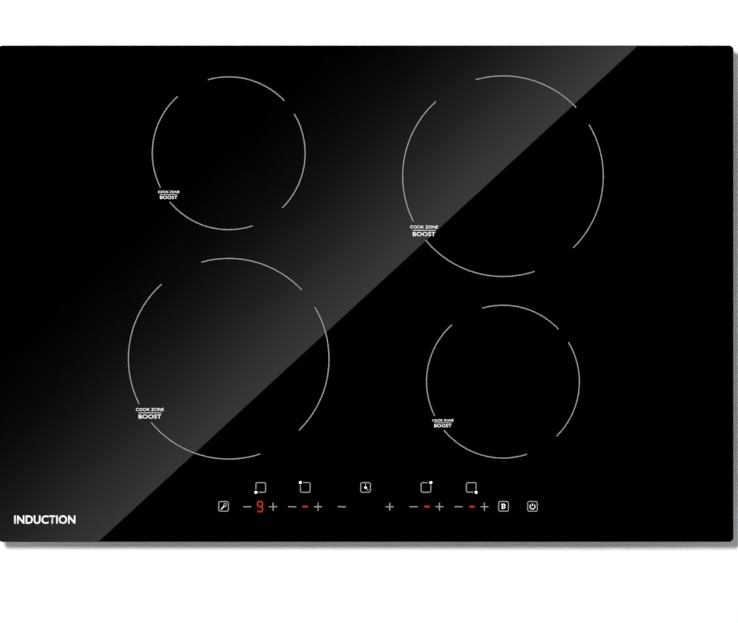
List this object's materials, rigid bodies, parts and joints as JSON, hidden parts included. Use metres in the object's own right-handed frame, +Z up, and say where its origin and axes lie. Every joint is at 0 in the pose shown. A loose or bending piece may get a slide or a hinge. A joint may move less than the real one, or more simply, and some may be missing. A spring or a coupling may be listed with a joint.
{
  "type": "electric induction cooktop",
  "caption": "Built-in induction cooktop: black glass-ceramic top with printed zones and touch controls, steel tray with sprung coils, blowers and swing-out clamps.",
  "frame": {"origin": "middle of the seat plane: the underside of the gasket, level with the top of the worktop", "axes": "+Z up out of the worktop, +X to the user's right along the long side, -Y towards the user and the touch controls"},
  "size_m": [0.77, 0.52, 0.062],
  "materials": {
    "glass_ceramic": "polished black glass-ceramic",
    "print_enamel": "fired light grey enamel print",
    "foam_seal": "closed-cell foam",
    "silicone_adhesive": "cured silicone bead",
    "coated_frame": "black coated steel sheet",
    "galvanised_tray": "galvanised steel sheet",
    "zinc_screws": "zinc-plated steel",
    "terminal_plastic": "light grey polyamide",
    "cover_plastic": "black polyamide",
    "gland_plastic": "black polyamide",
    "board_laminate": "green solder mask on laminate",
    "heatsink_aluminium": "extruded aluminium",
    "moulding_epoxy": "black epoxy moulding",
    "capacitor_case": "yellow plastic case",
    "choke_copper": "enamelled copper on a toroid core",
    "standoff_steel": "zinc-plated steel",
    "plate_aluminium": "rolled aluminium sheet",
    "post_steel": "zinc-plated shoulder screws",
    "spring_steel": "spring steel wire",
    "blower_plastic": "black glass-filled polymer",
    "motor_steel": "stator with bearing",
    "impeller_plastic": "black moulded polymer",
    "control_plastic": "light grey polymer",
    "control_laminate": "green solder mask on laminate",
    "touch_foam": "conductive foam",
    "display_plastic": "smoked display body",
    "wire_insulation": "silicone-insulated copper wire",
    "former_plastic": "black heat-resistant polymer",
    "litz_copper": "enamelled copper litz wire",
    "ferrite": "sintered ferrite",
    "mica": "pressed mica sheet",
    "sensor_silicone": "white silicone boot",
    "clamp_screw_steel": "zinc-plated steel",
    "clamp_arm_steel": "galvanised strip"
  },
  "bodies": {
    "case": {"glass_top": "glass_ceramic", "zone_rings": "print_enamel", "worktop_gasket": "foam_seal", "frame_adhesive": "silicone_adhesive", "glass_frame": "coated_frame", "bottom_tray": "galvanised_tray", "case_screws": "zinc_screws", "terminal_block": "terminal_plastic", "terminal_cover": "cover_plastic", "cable_gland": "gland_plastic", "power_board_left": "board_laminate", "power_board_right": "board_laminate", "heatsink_left": "heatsink_aluminium", "heatsink_right": "heatsink_aluminium", "power_transistors": "moulding_epoxy", "film_capacitors": "capacitor_case", "line_chokes": "choke_copper", "standoffs": "standoff_steel", "support_plate_left": "plate_aluminium", "support_plate_right": "plate_aluminium", "coil_posts": "post_steel", "coil_springs": "spring_steel", "blower_housing_left": "blower_plastic", "blower_housing_right": "blower_plastic", "fan_motors": "motor_steel", "control_housing": "control_plastic", "control_board": "control_laminate", "touch_pads": "touch_foam", "led_displays": "display_plastic", "wiring_harness": "wire_insulation"},
    "impeller_left_body": {"impeller_left": "impeller_plastic"},
    "impeller_right_body": {"impeller_right": "impeller_plastic"},
    "coil_front_left": {"coil_former_front_left": "former_plastic", "litz_winding_front_left": "litz_copper", "ferrite_bars_front_left": "ferrite", "mica_sheet_front_left": "mica", "temperature_sensor_front_left": "sensor_silicone"},
    "coil_front_right": {"coil_former_front_right": "former_plastic", "litz_winding_front_right": "litz_copper", "ferrite_bars_front_right": "ferrite", "mica_sheet_front_right": "mica", "temperature_sensor_front_right": "sensor_silicone"},
    "coil_rear_left": {"coil_former_rear_left": "former_plastic", "litz_winding_rear_left": "litz_copper", "ferrite_bars_rear_left": "ferrite", "mica_sheet_rear_left": "mica", "temperature_sensor_rear_left": "sensor_silicone"},
    "coil_rear_right": {"coil_former_rear_right": "former_plastic", "litz_winding_rear_right": "litz_copper", "ferrite_bars_rear_right": "ferrite", "mica_sheet_rear_right": "mica", "temperature_sensor_rear_right": "sensor_silicone"},
    "clamp_screw_front_left_body": {"clamp_screw_front_left": "clamp_screw_steel"},
    "clamp_arm_front_left_body": {"clamp_arm_front_left": "clamp_arm_steel"},
    "clamp_screw_front_right_body": {"clamp_screw_front_right": "clamp_screw_steel"},
    "clamp_arm_front_right_body": {"clamp_arm_front_right": "clamp_arm_steel"},
    "clamp_screw_rear_left_body": {"clamp_screw_rear_left": "clamp_screw_steel"},
    "clamp_arm_rear_left_body": {"clamp_arm_rear_left": "clamp_arm_steel"},
    "clamp_screw_rear_right_body": {"clamp_screw_rear_right": "clamp_screw_steel"},
    "clamp_arm_rear_right_body": {"clamp_arm_rear_right": "clamp_arm_steel"}
  },
  "joints": [
    {"name": "coil_float_front_left", "type": "slide", "parent": "case", "child": "coil_front_left", "axis": [0, 0, 1], "range_m": [-0.004, 0], "stiffness_N_per_m": 5000, "springref_m": 0.004, "deforming": ["coil_springs", "wiring_harness"]},
    {"name": "coil_float_front_right", "type": "slide", "parent": "case", "child": "coil_front_right", "axis": [0, 0, 1], "range_m": [-0.004, 0], "stiffness_N_per_m": 3500, "springref_m": 0.004, "deforming": ["coil_springs", "wiring_harness"]},
    {"name": "coil_float_rear_left", "type": "slide", "parent": "case", "child": "coil_rear_left", "axis": [0, 0, 1], "range_m": [-0.004, 0], "stiffness_N_per_m": 3500, "springref_m": 0.004, "deforming": ["coil_springs", "wiring_harness"]},
    {"name": "coil_float_rear_right", "type": "slide", "parent": "case", "child": "coil_rear_right", "axis": [0, 0, 1], "range_m": [-0.004, 0], "stiffness_N_per_m": 5000, "springref_m": 0.004, "deforming": ["coil_springs", "wiring_harness"]},
    {"name": "impeller_spin_left", "type": "hinge", "parent": "case", "child": "impeller_left_body", "pos_m": [-0.19, 0.15, -0.04], "axis": [0, 0, 1], "continuous": true},
    {"name": "impeller_spin_right", "type": "hinge", "parent": "case", "child": "impeller_right_body", "pos_m": [0.19, 0.15, -0.04], "axis": [0, 0, 1], "continuous": true},
    {"name": "clamp_lift_front_left", "type": "slide", "parent": "case", "child": "clamp_screw_front_left_body", "axis": [0, 0, 1], "range_m": [-0.012, 0]},
    {"name": "clamp_swing_front_left", "type": "hinge", "parent": "clamp_screw_front_left_body", "child": "clamp_arm_front_left_body", "pos_m": [-0.358, -0.172, -0.0515], "axis": [0, 0, 1], "range_deg": [0, 90]},
    {"name": "clamp_lift_front_right", "type": "slide", "parent": "case", "child": "clamp_screw_front_right_body", "axis": [0, 0, 1], "range_m": [-0.012, 0]},
    {"name": "clamp_swing_front_right", "type": "hinge", "parent": "clamp_screw_front_right_body", "child": "clamp_arm_front_right_body", "pos_m": [0.358, -0.172, -0.0515], "axis": [0, 0, -1], "range_deg": [0, 90]},
    {"name": "clamp_lift_rear_left", "type": "slide", "parent": "case", "child": "clamp_screw_rear_left_body", "axis": [0, 0, 1], "range_m": [-0.012, 0]},
    {"name": "clamp_swing_rear_left", "type": "hinge", "parent": "clamp_screw_rear_left_body", "child": "clamp_arm_rear_left_body", "pos_m": [-0.358, 0.172, -0.0515], "axis": [0, 0, -1], "range_deg": [0, 90]},
    {"name": "clamp_lift_rear_right", "type": "slide", "parent": "case", "child": "clamp_screw_rear_right_body", "axis": [0, 0, 1], "range_m": [-0.012, 0]},
    {"name": "clamp_swing_rear_right", "type": "hinge", "parent": "clamp_screw_rear_right_body", "child": "clamp_arm_rear_right_body", "pos_m": [0.358, 0.172, -0.0515], "axis": [0, 0, 1], "range_deg": [0, 90]}
  ]
}
